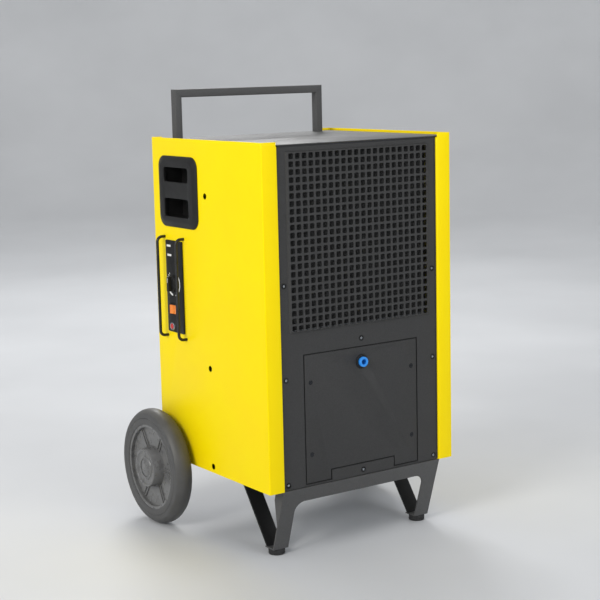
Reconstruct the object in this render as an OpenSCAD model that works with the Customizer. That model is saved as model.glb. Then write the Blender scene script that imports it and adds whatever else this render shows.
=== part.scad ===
// Wheeled refrigerant dehumidifier: a folded sheet-steel cabinet on two wheels and two splayed legs.
// +X is the right side, -Y is the front, +Z is up. The modules are drawn about the middle of the cabinet,
// and placed() moves them so that the origin is on the floor, under the middle of the whole machine.

/* [Cabinet] */
// Width over the two side panels
body_w = 520; // [500:5:540]
// Depth over the front and rear flanges
body_d = 475; // [470:5:485]
// Height of the side panels
body_h = 770; // [768:1:776]
// Gap between the floor and the cabinet
ground_gap = 160; // [158:1:162]
// Thickness of the folded steel sheet
sheet = 2; // [1.6:0.1:2]
// Width of the side panels' front flanges
flange_w = 40; // [36:1:42]
// How far the front and rear panels sit behind the flanges
panel_recess = 5; // [5:0.1:5.2]
// Open joint between neighbouring panels
joint_gap = 3; // [2:0.1:3]

/* [Intake grille] */
// Side of one square hole
hole_size = 12.5; // [8:0.5:13]
// Columns of holes
hole_cols = 22; // [18:1:22]
// Rows of holes
hole_rows = 23; // [19:1:23]
// Column pitch
pitch_x = 17.5; // [16:0.1:17.5]
// Row pitch
pitch_z = 17.1; // [16:0.1:17.1]
// How far the perforated field stands proud of the front panel
zone_proud = 4; // [3:0.1:4]

/* [Service cover] */
// Width of the cover
cover_w = 315; // [300:1:318]
// Height of the cover
cover_h = 291; // [285:1:292]
// Width of the panel tab at the foot of the cover
tab_w = 182; // [160:2:200]
// Height of that tab
tab_h = 23; // [18:1:26]

/* [Undercarriage] */
// Wheel radius
wheel_r = 140; // [138:1:140]
// Tyre width
tyre_w = 45; // [43:1:46]
// Gap between the side panel and the tyre
wheel_gap = 13; // [12:1:14]
// Axle centre, measured from the middle of the cabinet
axle_y = 206; // [200:1:208]
// Radius of the axle where a wheel runs
axle_r = 10; // [9:0.5:10]
// Width of a leg
leg_w = 40; // [36:1:40]
// How far the feet sit behind the front of the cabinet
foot_set_back = 66; // [64:1:70]

/* [Push bow] */
// Width over the bow
bow_w = 426; // [420:1:430]
// Height of the bow's top above the floor
bow_top = 1040; // [1020:5:1060]
// Depth of the rectangular tube
bow_tube_d = 20; // [18:0.5:21]
// Width of the rectangular tube
bow_tube_w = 19; // [17:1:20]
// Middle of the tube, measured from the middle of the cabinet
bow_y = 211; // [209:0.5:212]

/* [Controls] */
// Height of the control plate's centre above the floor
plate_z = 581; // [579:1:583]
// Middle of the control plate, measured from the middle of the cabinet
plate_y = 146; // [144:1:148]
// Radius of the dial's printed scale
scale_r = 31; // [29:1:31]
// Radius of the dial's knob
knob_r = 20; // [17:1:21]
// Radius of the guard rails' round rod
rail_r = 3.5; // [3:0.1:3.5]
// How far the rails' centre line stands out
rail_proud = 21; // [20:0.5:24]

/* [Refrigeration] */
// Width and height of the finned coils
coil_size = 376; // [360:2:376]
// Depth of one coil
coil_d = 50; // [44:1:52]
// Radius of the fan
fan_r = 155; // [145:1:156]
// Blades on the fan
fan_blades = 5; // [4:1:6]
// Radius of the compressor shell
pot_r = 68; // [60:1:70]

/* [Hidden] */
$fn = 64;

// Cabinet planes
half_w = body_w / 2;
half_d = body_d / 2;
z_low = ground_gap;
z_top = ground_gap + body_h;
front_face = -half_d + panel_recess;
rear_face = half_d - panel_recess;
rear_flange_w = 30;
lip_w = 24;
lip_y = half_d - panel_recess - sheet - 0.2;
edge_gap = 3;
front_half = half_w - flange_w - edge_gap;
rear_half = half_w - rear_flange_w - edge_gap;
panel_low = z_low + 1;
panel_top = z_top - 10;
lid_z = z_top - 8;

// Perforated field of the front panel
zone_w = (hole_cols - 1) * pitch_x + 25;
zone_h = (hole_rows - 1) * pitch_z + 20;
zone_top = z_top - 22;
zone_mid = zone_top - zone_h / 2;

// Service cover
cover_low = z_low + 7.5;
cover_lip = 10;
cover_screw_x = 142;
cover_screw_low = cover_low + 64.5;
cover_screw_high = cover_low + 228.5;
outlet_z = cover_low + 257.5;
outlet_r = 16;
collet_r = 10;
hose_r = 6.05;
collet_stroke = 1.5;
collet_gap = 0.3;
collet_ring = 6;
outlet_proud = 2;

// Screws: radius of a head, its height and its shank
head_r = 5.5;
head_h = 3;
shank_r = 2;
shank_l = 6;
panel_screw_x = 207;
panel_screw_zs = [z_low + 12, z_low + 249, z_low + 458];
side_screw_zs = [z_low + 15, z_low + 246.5, z_low + 643];
centre_screw_zs = [z_low + 13, z_low + 319];

// Recessed lifting grips
grip_y = 117;
grip_z = z_low + 646;
grip_w = 174;
grip_h = 166;
grip_proud = 8;
grip_depth = 46;
grip_wall = 3;
grip_hole_w = 110;
grip_bar_h = 38;
grip_upper_h = 34;
grip_lower_h = 43;
grip_bar_z = grip_z + 4;
cup_w = grip_hole_w + 12;
cup_low = grip_bar_z - grip_bar_h / 2 - grip_lower_h - 6;
cup_top = grip_bar_z + grip_bar_h / 2 + grip_upper_h + 6;

// Controls
plate_w = 76;
plate_h = 219;
plate_t = 3;
dial_y = plate_y + 4;
dial_z = plate_z + 7;
rocker_y = plate_y + 9;
rocker_z = plate_z - 55;
rocker_w = 32;
rocker_h = 27;
rocker_tilt = 8;
lamp_y = plate_y + 15;
lamp_z = plate_z - 96;
lamp_r = 10;
spindle_r = 3;
box_w = 104;
box_d = 62;
box_h = 256;
rail_h = 236.5;
rail_bend = 12;
rail_ys = [plate_y - 43.5, plate_y + 43.5];

// Undercarriage
leg_x = 203;
foot_y = -half_d + foot_set_back;
foot_r = 19;
foot_h = 14;
leg_t = 3;
apron_h = 34;
strut_rise = 178 - foot_set_back;
tyre_out = half_w + wheel_gap + tyre_w;
rim_r = 103;
boss_r = 46;
boss_proud = 12;
web_set = 14;
boss_in = 6;
bush_r = 14;
axle_mid_r = 12.5;
bracket_x = 235;
bracket_t = 5;
run_gap = 0.05;

// Middle of the whole machine: from the collet at the front to the tyres at the back
front_most = front_face - outlet_proud - collet_stroke - collet_gap - collet_ring;
middle_y = (axle_y + wheel_r + front_most) / 2;

// Cooling parts
deck_z = z_low + 332;
coil_mid = zone_mid;
coil_low = coil_mid - coil_size / 2;
evaporator_y = -206;
condenser_y = -128;
shroud_y = -34;
shroud_d = 52;
shroud_hole_r = fan_r + 6;
tube_r = 5;
bend_r = 12;
bend_rows = 7;
riser_x = 225;
pot_x = 95;
pot_y = 40;
pot_low = z_low + 25;
pot_h = 250;
tank_x = -120;
tank_y = -110;
tank_w = 170;
tank_d = 120;
tank_h = 110;
tank_low = z_low + sheet + 0.1;
tank_top = tank_low + tank_h;
tray_drop_x = -150;
tray_drop_y = -150;
pump_out_x = tank_x + 62;
pump_out_y = tank_y + 35;
float_pivot = [tank_x - 20, tank_y, tank_low + 84];

module placed() {
    translate([0, -middle_y, 0]) children();
}

// A flat figure drawn in X and Z, standing upright with its front at y
module upright(y, thick) {
    translate([0, y + thick, 0]) rotate([90, 0, 0]) linear_extrude(thick) children();
}

// A flat figure drawn in Y and Z, standing upright with its left side at x
module sideways(x, thick) {
    translate([x, 0, 0]) rotate([90, 0, 90]) linear_extrude(thick) children();
}

// A shape turned about the X axis, its outline drawn as radius and distance along X
module turned_x(x) {
    translate([x, 0, 0]) rotate([0, 90, 0]) rotate_extrude($fn = 96) children();
}

module rounded(w, h, r) {
    union() {
        square([w - 2 * r, h], center = true);
        square([w, h - 2 * r], center = true);
        for (sx = [-1, 1], sy = [-1, 1])
            translate([sx * (w / 2 - r), sy * (h / 2 - r)]) circle(r, $fn = 32);
    }
}

module block(low, high) {
    translate(low) cube(high - low);
}

// A round rod or pipe between two points
module rod(from, to, r) {
    run = to - from;
    span = norm(run);
    translate(from)
        rotate([0, acos(run.z / span), atan2(run.y, run.x)]) cylinder(span, r, r, $fn = 24);
}

// A pipe through a list of points, with ball-shaped elbows
module pipe(points, r) {
    for (i = [0 : len(points) - 2]) rod(points[i], points[i + 1], r);
    for (i = [1 : 1 : len(points) - 2]) translate(points[i]) sphere(r, $fn = 24);
}

// Folded side panel, drawn for the left side, seen in plan
module side_fold() {
    translate([-half_w, -half_d]) square([sheet, body_d]);
    translate([-half_w, -half_d]) square([flange_w, sheet]);
    translate([-half_w, half_d - sheet]) square([rear_flange_w, sheet]);
}

module side_lips() {
    front_in = -half_w + flange_w - sheet;
    rear_in = -half_w + rear_flange_w - sheet;
    translate([front_in, -half_d]) square([sheet, half_d - lip_y]);
    translate([front_in, -lip_y]) square([lip_w, sheet]);
    translate([rear_in, lip_y]) square([sheet, half_d - lip_y]);
    translate([rear_in, lip_y - sheet]) square([lip_w, sheet]);
}

module side_panel() {
    difference() {
        union() {
            translate([0, 0, z_low]) linear_extrude(body_h) side_fold();
            translate([0, 0, z_low]) linear_extrude(body_h - 10) side_lips();
        }
        sideways(-half_w - 1, sheet + 2)
            translate([grip_y, (cup_low + cup_top) / 2]) rounded(cup_w + 1, cup_top - cup_low + 1, 8);
    }
}

module side_panel_left() {
    color("gold") difference() {
        side_panel();
        block([-half_w - 1, rocker_y - 14.5, rocker_z - 12.5], [-half_w + sheet + 1, rocker_y + 14.5, rocker_z + 12.5]);
        translate([-half_w - 1, dial_y, dial_z]) rotate([0, 90, 0]) cylinder(sheet + 2, 6, 6);
        translate([-half_w - 1, lamp_y, lamp_z]) rotate([0, 90, 0]) cylinder(sheet + 2, 7, 7);
    }
}

module side_panel_right() {
    color("gold") mirror([1, 0, 0]) side_panel();
}

// Outline of the service cover, grown by the joint gap for the opening in the panel
module cover_outline(grow) {
    difference() {
        translate([-cover_w / 2 - grow, cover_low - grow]) square([cover_w + 2 * grow, cover_h + 2 * grow]);
        translate([-tab_w / 2 + grow, cover_low - grow - 1]) square([tab_w - 2 * grow, tab_h + 1]);
    }
}

module hole_field() {
    for (i = [0 : hole_cols - 1], j = [0 : hole_rows - 1])
        translate([(i - (hole_cols - 1) / 2) * pitch_x, zone_mid + (j - (hole_rows - 1) / 2) * pitch_z])
            square(hole_size, center = true);
}

module front_panel() {
    color("dimgray") {
        upright(front_face, sheet) difference() {
            translate([-front_half, panel_low]) square([2 * front_half, panel_top - panel_low]);
            translate([-zone_w / 2 + sheet, zone_mid - zone_h / 2 + sheet])
                square([zone_w - 2 * sheet, zone_h - 2 * sheet]);
            cover_outline(joint_gap);
        }
        upright(front_face - zone_proud, sheet + zone_proud) difference() {
            translate([-zone_w / 2, zone_mid - zone_h / 2]) square([zone_w, zone_h]);
            translate([-zone_w / 2 + sheet, zone_mid - zone_h / 2 + sheet])
                square([zone_w - 2 * sheet, zone_h - 2 * sheet]);
        }
        upright(front_face - zone_proud, sheet) difference() {
            translate([-zone_w / 2, zone_mid - zone_h / 2]) square([zone_w, zone_h]);
            hole_field();
        }
        upright(front_face + sheet, sheet) difference() {
            translate([-cover_w / 2 - cover_lip, cover_low - 5])
                square([cover_w + 2 * cover_lip, cover_h + 5 + cover_lip]);
            translate([-cover_w / 2 + cover_lip, cover_low + tab_h + cover_lip])
                square([cover_w - 2 * cover_lip, cover_h - tab_h - 2 * cover_lip]);
        }
    }
}

module service_cover() {
    color("dimgray") upright(front_face, sheet) difference() {
        cover_outline(0);
        translate([0, outlet_z]) circle(outlet_r + 0.3);
    }
}

module rear_panel() {
    slot_w = 58;
    slot_h = 8;
    slot_cols = 5;
    slot_rows = 19;
    color("dimgray") upright(rear_face - sheet, sheet) difference() {
        translate([-rear_half, panel_low]) square([2 * rear_half, panel_top - panel_low]);
        for (i = [0 : slot_cols - 1], j = [0 : slot_rows - 1])
            translate([(i - (slot_cols - 1) / 2) * 74, coil_mid + (j - (slot_rows - 1) / 2) * 18]) {
                square([slot_w - slot_h, slot_h], center = true);
                for (s = [-1, 1]) translate([s * (slot_w - slot_h) / 2, 0]) circle(slot_h / 2, $fn = 24);
            }
        translate([150, z_low + 70]) circle(10.2);
    }
}

module top_cover() {
    lid_half = half_w - sheet - 1.5;
    flange_h = 10;
    color("dimgray") difference() {
        union() {
            block([-lid_half, -half_d + 2.5, lid_z], [lid_half, half_d - 2.5, lid_z + sheet]);
            for (s = [-1, 1]) {
                block([s > 0 ? lid_half - sheet : -lid_half, -220, lid_z - flange_h],
                      [s > 0 ? lid_half : -lid_half + sheet, 220, lid_z]);
                block([-bow_w / 2 + bow_tube_w + 4, s > 0 ? 218 : -220, lid_z - flange_h],
                      [bow_w / 2 - bow_tube_w - 4, s > 0 ? 220 : -218, lid_z]);
            }
        }
        for (s = [-1, 1]) translate([s * (bow_w - bow_tube_w) / 2, bow_y, lid_z])
            cube([bow_tube_w + 1, bow_tube_d + 1, 3 * sheet], center = true);
    }
}

module base_pan() {
    pan_x = half_w - sheet - 0.5;
    pan_y = lip_y - sheet - 0.5;
    wall_h = 20;
    color("darkgray") difference() {
        block([-pan_x, -pan_y, z_low], [pan_x, pan_y, z_low + wall_h]);
        block([-pan_x + sheet, -pan_y + sheet, z_low + sheet], [pan_x - sheet, pan_y - sheet, z_low + wall_h + 1]);
    }
}

module mid_deck() {
    deck_x = half_w - sheet - 0.5;
    deck_y = lip_y - sheet - 0.5;
    color("darkgray") difference() {
        block([-deck_x, -deck_y, deck_z], [deck_x, deck_y, deck_z + sheet]);
        block([-deck_x - 1, plate_y - box_w / 2 - 1, deck_z - 1], [-deck_x + box_d + 4, plate_y + box_w / 2 + 1, deck_z + 3]);
        translate([tray_drop_x, tray_drop_y, deck_z - 1]) cylinder(sheet + 2, 11, 11);
        for (y = [evaporator_y + 12, evaporator_y + 36, condenser_y + 12, condenser_y + 38])
            translate([riser_x, y, deck_z - 1]) cylinder(sheet + 2, 8, 8);
    }
}

// Gap between the two legs, seen from the front
module leg_opening() {
    fillet_r = 24;
    x_in = leg_x - leg_w / 2;
    apron_z = z_low - apron_h;
    translate([-x_in, -1]) square([2 * x_in, apron_z + 1 - fillet_r]);
    translate([fillet_r - x_in, -1]) square([2 * (x_in - fillet_r), apron_z + 1]);
    for (s = [-1, 1]) translate([s * (x_in - fillet_r), apron_z - fillet_r]) circle(fillet_r);
}

// Apron and two legs: one sheet folded under the cabinet, leaning back, and folded again at the feet,
// with a side return at the top of each leg
module leg_frame() {
    flange_d = 46;
    x_out = leg_x + leg_w / 2;
    top_y = -half_d + 2;
    low_y = foot_y - 17.5;
    top_z = z_low - 0.2;
    gusset_low = 72;
    lean = (low_y - top_y) / (top_z - foot_h);
    color("dimgray") difference() {
        sideways(-x_out, 2 * x_out)
            polygon([[top_y, top_z], [top_y + flange_d, top_z], [top_y + flange_d, top_z - leg_t],
                     [top_y + 1.6 * leg_t, top_z - leg_t], [low_y + 1.1 * leg_t, foot_h + leg_t],
                     [foot_y + 18, foot_h + leg_t], [foot_y + 18, foot_h], [low_y, foot_h]]);
        upright(-half_d - 5, body_d) leg_opening();
    }
    color("dimgray") for (s = [-1, 1]) sideways(s > 0 ? x_out - leg_t : -x_out, leg_t)
        polygon([[top_y + 2, top_z], [top_y + 30, top_z], [top_y + 38, top_z - 26],
                 [top_y + lean * (top_z - gusset_low) + 2.5, gusset_low], [top_y + 3.5, top_z - 4]]);
}

// Rear strap of a leg, seen from the side
module strut_outline() {
    top_y = foot_y + strut_rise;
    low_y = foot_y + 8;
    low_z = foot_h + leg_t + 0.2;
    top_z = z_low - leg_t;
    polygon([[low_y, low_z], [low_y + 5, low_z], [top_y + 4, top_z], [top_y + 40, top_z],
             [top_y + 40, z_low - 0.2], [top_y, z_low - 0.2]]);
}

module leg_strut(side) {
    sideways(side * leg_x - leg_w / 2, leg_w) strut_outline();
}

module leg_strut_left() {
    color("dimgray") leg_strut(-1);
}

module leg_strut_right() {
    color("dimgray") leg_strut(1);
}

module foot_pad(side) {
    translate([side * leg_x, foot_y, 0]) rotate_extrude()
        polygon([[0, 0], [foot_r - 2, 0], [foot_r, 2], [foot_r, foot_h - 0.1], [0, foot_h - 0.1]]);
}

module foot_pad_left() {
    color("black") foot_pad(-1);
}

module foot_pad_right() {
    color("black") foot_pad(1);
}

module axle() {
    end_x = tyre_out + 4;
    mid_x = half_w + wheel_gap - boss_in - 1.5;
    color("silver") translate([0, axle_y, wheel_r]) rotate([0, 90, 0]) {
        cylinder(2 * end_x, axle_r, axle_r, center = true);
        cylinder(2 * mid_x, axle_mid_r, axle_mid_r, center = true);
    }
}

module axle_bracket(side) {
    x = side > 0 ? bracket_x : -bracket_x - bracket_t;
    color("dimgray") {
        sideways(x, bracket_t) difference() {
            union() {
                polygon([[axle_y - 70, z_low - 0.2], [axle_y - 24, wheel_r - 12], [axle_y + 22, wheel_r - 12],
                         [axle_y + 22, z_low - 0.2]]);
                translate([axle_y, wheel_r]) circle(22);
            }
            translate([axle_y, wheel_r]) circle(axle_mid_r + run_gap);
            translate([axle_y - 80, z_low - 0.2]) square([120, 20]);
        }
    }
}

module axle_bracket_left() {
    axle_bracket(-1);
}

module axle_bracket_right() {
    axle_bracket(1);
}

module at_wheel(side) {
    translate([0, axle_y, wheel_r]) mirror([side > 0 ? 0 : 1, 0, 0]) children();
}

// Tyre section as radius and distance inwards from the outer face
module tyre_section() {
    crown = 12;
    polygon([[rim_r, 0], [wheel_r - crown, 0], [wheel_r - 4, 3], [wheel_r, crown], [wheel_r, tyre_w - crown],
             [wheel_r - 4, tyre_w - 3], [wheel_r - crown, tyre_w], [rim_r, tyre_w]]);
}

module tyre(side) {
    color("darkslategray") at_wheel(side) turned_x(tyre_out - tyre_w) tyre_section();
}

module tyre_left() {
    tyre(-1);
}

module tyre_right() {
    tyre(1);
}

module hub(side) {
    web_x = tyre_out - web_set;
    color("gray") at_wheel(side) {
        difference() {
            union() {
                turned_x(tyre_out - tyre_w + 2) polygon([[rim_r - 7, 0], [rim_r - 0.1, 0],
                    [rim_r - 0.1, tyre_w - 4], [rim_r - 7, tyre_w - 4]]);
                turned_x(web_x - 3) polygon([[20, 0], [rim_r - 5, 0], [rim_r - 5, 6], [20, 6]]);
                turned_x(web_x - 3) polygon([[15, 0], [boss_r + 4, 0], [boss_r, web_set + 3 + boss_proud],
                    [15, web_set + 3 + boss_proud]]);
                turned_x(tyre_out - tyre_w - boss_in) polygon([[15, 0], [26, 0], [30, tyre_w - web_set + boss_in],
                    [15, tyre_w - web_set + boss_in]]);
                for (i = [0 : 5]) rotate([60 * i, 0, 0])
                    translate([web_x, boss_r - 2, -6]) cube([8, rim_r - boss_r - 3, 12]);
            }
            turned_x(tyre_out - tyre_w - boss_in - 1) square([bush_r, tyre_w + boss_in + boss_proud + 4]);
            turned_x(tyre_out) square([22, boss_proud + 2]);
        }
    }
}

module hub_left() {
    hub(-1);
}

module hub_right() {
    hub(1);
}

module bush(side) {
    color("ivory") at_wheel(side) turned_x(tyre_out - tyre_w - boss_in + 0.5)
        polygon([[axle_r + run_gap, 0], [bush_r - run_gap, 0], [bush_r - run_gap, tyre_w + boss_in - 1],
                 [axle_r + run_gap, tyre_w + boss_in - 1]]);
}

module bush_left() {
    bush(-1);
}

module bush_right() {
    bush(1);
}

module hub_cap(side) {
    color("dimgray") at_wheel(side) turned_x(tyre_out + 6)
        polygon([[0, 0], [21.95, 0], [21.95, 4], [14, 6], [0, 6]]);
}

module hub_cap_left() {
    hub_cap(-1);
}

module hub_cap_right() {
    hub_cap(1);
}

// Retaining washers at the two ends of the axle
module axle_clips() {
    color("silver") for (side = [-1, 1]) at_wheel(side)
        turned_x(tyre_out + 0.6) polygon([[axle_r + 0.02, 0], [17, 0], [17, 1.6], [axle_r + 0.02, 1.6]]);
}

// Push bow of rectangular tube with mitred corners
module handle_bow() {
    foot_z = lid_z - 160;
    bow_h = bow_top - foot_z;
    wall = 2;
    color("dimgray") difference() {
        upright(bow_y - bow_tube_d / 2, bow_tube_d) difference() {
            translate([-bow_w / 2, foot_z]) square([bow_w, bow_h]);
            translate([-bow_w / 2 + bow_tube_w, foot_z - 1])
                square([bow_w - 2 * bow_tube_w, bow_h + 1 - bow_tube_w]);
        }
        upright(bow_y - bow_tube_d / 2 + wall, bow_tube_d - 2 * wall) difference() {
            translate([-bow_w / 2 + wall, foot_z - 1]) square([bow_w - 2 * wall, bow_h + 1 - wall]);
            translate([-bow_w / 2 + bow_tube_w - wall, foot_z - 2])
                square([bow_w - 2 * bow_tube_w + 2 * wall, bow_h + 2 - bow_tube_w + wall]);
        }
    }
}

// Lifting grip: a proud plate with two windows, a bar between them and a blind cup behind
module grip() {
    plate_back = -half_w;
    cup_h = cup_top - cup_low;
    cup_mid = (cup_low + cup_top) / 2;
    upper_mid = grip_bar_z + (grip_bar_h + grip_upper_h) / 2;
    lower_mid = grip_bar_z - (grip_bar_h + grip_lower_h) / 2;
    color("black") difference() {
        union() {
            sideways(plate_back - grip_proud, grip_proud) translate([grip_y, grip_z]) rounded(grip_w, grip_h, 26);
            sideways(plate_back, grip_depth) translate([grip_y, cup_mid]) rounded(cup_w, cup_h, 8);
        }
        sideways(plate_back - grip_proud + 5, grip_proud + grip_depth - 5 - grip_wall)
            translate([grip_y, cup_mid]) rounded(cup_w - 2 * grip_wall, cup_h - 2 * grip_wall, 6);
        sideways(plate_back - grip_proud - 1, 8) translate([grip_y, upper_mid]) rounded(grip_hole_w, grip_upper_h, 5);
        sideways(plate_back - grip_proud - 1, 8) translate([grip_y, lower_mid]) rounded(grip_hole_w, grip_lower_h, 5);
    }
    color("black") difference() {
        block([plate_back - 3.01, grip_y - cup_w / 2 + 1, grip_bar_z - grip_bar_h / 2],
              [plate_back + 14, grip_y + cup_w / 2 - 1, grip_bar_z + grip_bar_h / 2]);
        block([plate_back + 2, grip_y - 45, grip_bar_z - grip_bar_h / 2 - 1],
              [plate_back + 15, grip_y + 45, grip_bar_z - grip_bar_h / 2 + 8]);
    }
}

module grip_left() {
    grip();
}

module grip_right() {
    mirror([1, 0, 0]) grip();
}

// Guard rail: a round rod bent into a shallow U, its two ends in the side panel
module guard_rail(y) {
    out_x = -half_w - rail_proud;
    low_z = plate_z - 2 - rail_h / 2;
    high_z = low_z + rail_h;
    color("black") {
        rod([out_x, y, low_z + rail_bend], [out_x, y, high_z - rail_bend], rail_r);
        for (z = [low_z, high_z]) rod([out_x + rail_bend, y, z], [-half_w, y, z], rail_r);
        translate([out_x + rail_bend, y, low_z + rail_bend]) rotate([90, 0, 0]) rotate([0, 0, 180])
            rotate_extrude(angle = 90, $fn = 64) translate([rail_bend, 0]) circle(rail_r, $fn = 24);
        translate([out_x + rail_bend, y, high_z - rail_bend]) rotate([90, 0, 0]) rotate([0, 0, 90])
            rotate_extrude(angle = 90, $fn = 64) translate([rail_bend, 0]) circle(rail_r, $fn = 24);
    }
}

module guard_rail_front() {
    guard_rail(rail_ys[0]);
}

module guard_rail_rear() {
    guard_rail(rail_ys[1]);
}

module control_plate() {
    color("black") sideways(-half_w - plate_t, plate_t) difference() {
        translate([plate_y, plate_z]) rounded(plate_w, plate_h, 4);
        translate([dial_y, dial_z]) circle(6);
        translate([rocker_y, rocker_z]) square([29, 25], center = true);
        translate([lamp_y, lamp_z]) circle(7);
    }
}

module dial_scale() {
    color("white") sideways(-half_w - plate_t - 1, 0.9) translate([dial_y, dial_z]) difference() {
        circle(scale_r);
        circle(5);
    }
}

// Knob with a finger bar, and the spindle that turns the hygrostat
module dial_knob() {
    knob_x = -half_w - plate_t - 1.4;
    color("black") {
        translate([knob_x - 6, dial_y, dial_z]) rotate([0, 90, 0]) cylinder(6, knob_r - 1, knob_r);
        difference() {
            translate([knob_x - 16, dial_y, dial_z]) rotate([0, 90, 0]) cylinder(12, knob_r - 4, knob_r - 2);
            for (s = [-1, 1]) block([knob_x - 17, dial_y + (s > 0 ? 5 : -25), dial_z - 25],
                                    [knob_x - 6, dial_y + (s > 0 ? 25 : -5), dial_z + 25]);
        }
        translate([knob_x - 1, dial_y, dial_z]) rotate([0, 90, 0]) cylinder(24, spindle_r, spindle_r);
    }
}

module hygrostat() {
    color("ivory") difference() {
        block([-half_w + sheet + 0.5, dial_y - 27, dial_z - 27], [-half_w + sheet + 30, dial_y + 27, dial_z + 27]);
        translate([-half_w, dial_y, dial_z]) rotate([0, 90, 0]) cylinder(22, spindle_r + run_gap, spindle_r + run_gap);
    }
}

module rocker_frame() {
    face_x = -half_w - plate_t;
    color("black") difference() {
        union() {
            sideways(face_x - 2, 1.9) translate([rocker_y, rocker_z]) square([rocker_w, rocker_h], center = true);
            sideways(face_x - 1, 22) translate([rocker_y, rocker_z]) square([28, 24], center = true);
        }
        sideways(face_x - 3, 16) translate([rocker_y, rocker_z]) square([26, 22], center = true);
    }
}

// Rocker paddle, tilted to its "off" side, on a pin along Z
module rocker_paddle() {
    pivot_x = -half_w - plate_t + 4;
    color("orangered") translate([pivot_x, rocker_y, rocker_z - 10.6]) rotate([0, 0, rocker_tilt])
        linear_extrude(21.2)
            polygon([[-7, -12], [-5, 0], [-7, 12], [-4, 12.2], [3, 4], [3, -4], [-4, -12.2]]);
}

module pilot_lamp() {
    color("red") translate([-half_w - plate_t - 5, lamp_y, lamp_z]) rotate([0, 90, 0]) {
        cylinder(5, lamp_r - 1.5, lamp_r);
        cylinder(28, 6.5, 6.5);
    }
}

// Sheet-metal box behind the control plate, open towards the side panel
module control_box() {
    x0 = -half_w + sheet + 0.4;
    low = [x0, plate_y - box_w / 2, plate_z - box_h / 2 - 5];
    high = [x0 + box_d, plate_y + box_w / 2, plate_z + box_h / 2 - 5];
    color("darkgray") difference() {
        block(low, high);
        block(low + [-1, sheet, sheet], high - [sheet, sheet, sheet]);
    }
}

module push_fit_body() {
    color("black") translate([0, 0, outlet_z]) rotate([-90, 0, 0]) translate([0, 0, front_face - outlet_proud]) difference() {
        union() {
            cylinder(30, outlet_r, outlet_r);
            cylinder(46, 9.5, 9.5);
        }
        translate([0, 0, -1]) cylinder(16, collet_r + run_gap, collet_r + run_gap);
        translate([0, 0, -1]) cylinder(37, hose_r, hose_r);
    }
}

// Release collet of the push-fit connector: pressed in to free the hose
module push_fit_collet() {
    ring_y = front_face - outlet_proud - collet_stroke - collet_gap;
    color("dodgerblue") translate([0, 0, outlet_z]) rotate([-90, 0, 0]) translate([0, 0, ring_y]) difference() {
        union() {
            translate([0, 0, -collet_ring]) cylinder(collet_ring, collet_r + 1.5, collet_r + 1.5);
            translate([0, 0, -1]) cylinder(13, collet_r, collet_r);
        }
        translate([0, 0, -7]) cylinder(30, hose_r + 0.15, hose_r + 0.15);
    }
}

module drain_hose() {
    start = [0, front_face - outlet_proud + 46.2, outlet_z];
    color("lightgray") pipe([start, start + [0, 36, 0], [pump_out_x, start.y + 36, outlet_z],
        [pump_out_x, pump_out_y, outlet_z], [pump_out_x, pump_out_y, tank_top + 70.2]], 6);
}

module filter_frame() {
    y = front_face + 8;
    size = zone_w + 6;
    color("darkgray") upright(y, 12) difference() {
        translate([0, zone_mid]) square([size, zone_h + 4], center = true);
        translate([0, zone_mid]) square([size - 12, zone_h - 8], center = true);
    }
}

module filter_mat() {
    y = front_face + 10;
    color("dimgray") upright(y, 8) translate([0, zone_mid]) square([zone_w - 6.4, zone_h - 8.4], center = true);
}

// Fins on both faces of a thin central sheet, with hairpin bends showing at both ends
module coil(y) {
    half = coil_size / 2;
    end_t = 2;
    fins = 32;
    fin_t = 1.2;
    core_t = 3;
    fin_pitch = (coil_size - fin_t) / (fins - 1);
    slot_d = (coil_d - core_t) / 2;
    difference() {
        block([-half, y, coil_low], [half, y + coil_d, coil_low + coil_size]);
        for (i = [0 : fins - 2]) translate([-half + fin_t + i * fin_pitch, y - 1, coil_low - 1]) {
            cube([fin_pitch - fin_t, slot_d + 1, coil_size + 2]);
            translate([0, slot_d + core_t + 1, 0]) cube([fin_pitch - fin_t, slot_d + 1, coil_size + 2]);
        }
    }
    for (s = [-1, 1]) block([s > 0 ? half : -half - end_t, y - 3, coil_low - 1],
                            [s > 0 ? half + end_t : -half, y + coil_d + 3, coil_low + coil_size + 1]);
    for (s = [-1, 1], i = [0 : bend_rows - 1], k = [0, 1])
        translate([s * (half + end_t - 0.5), y + 12.5 + 25 * k, coil_low + 38 + i * 50])
            rotate([90, 0, 0]) rotate([0, 0, s > 0 ? -90 : 90])
                rotate_extrude(angle = 180, $fn = 32) translate([bend_r, 0]) circle(tube_r, $fn = 16);
}

module evaporator() {
    color("silver") coil(evaporator_y);
}

module condenser() {
    color("silver") coil(condenser_y);
}

// Fan plate with a ring round the fan and four arms that carry the motor
module fan_shroud() {
    plate_half = half_w - sheet - 2;
    low = deck_z + sheet + 0.2;
    arm_y = shroud_y + shroud_d;
    color("darkgray") {
        upright(shroud_y, sheet) difference() {
            translate([-plate_half, low]) square([2 * plate_half, lid_z - 16 - low]);
            translate([0, coil_mid]) circle(shroud_hole_r + 1.5);
        }
        upright(shroud_y, shroud_d + 6) translate([0, coil_mid]) difference() {
            circle(shroud_hole_r + 3, $fn = 96);
            circle(shroud_hole_r, $fn = 96);
        }
        for (i = [0 : 3]) translate([0, arm_y, coil_mid]) rotate([0, 45 + 90 * i, 0])
            block([50, 0.5, -7], [shroud_hole_r + 1.5, 4.5, 7]);
        upright(arm_y, 5) translate([0, coil_mid]) difference() {
            circle(54);
            circle(40);
        }
    }
}

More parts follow.
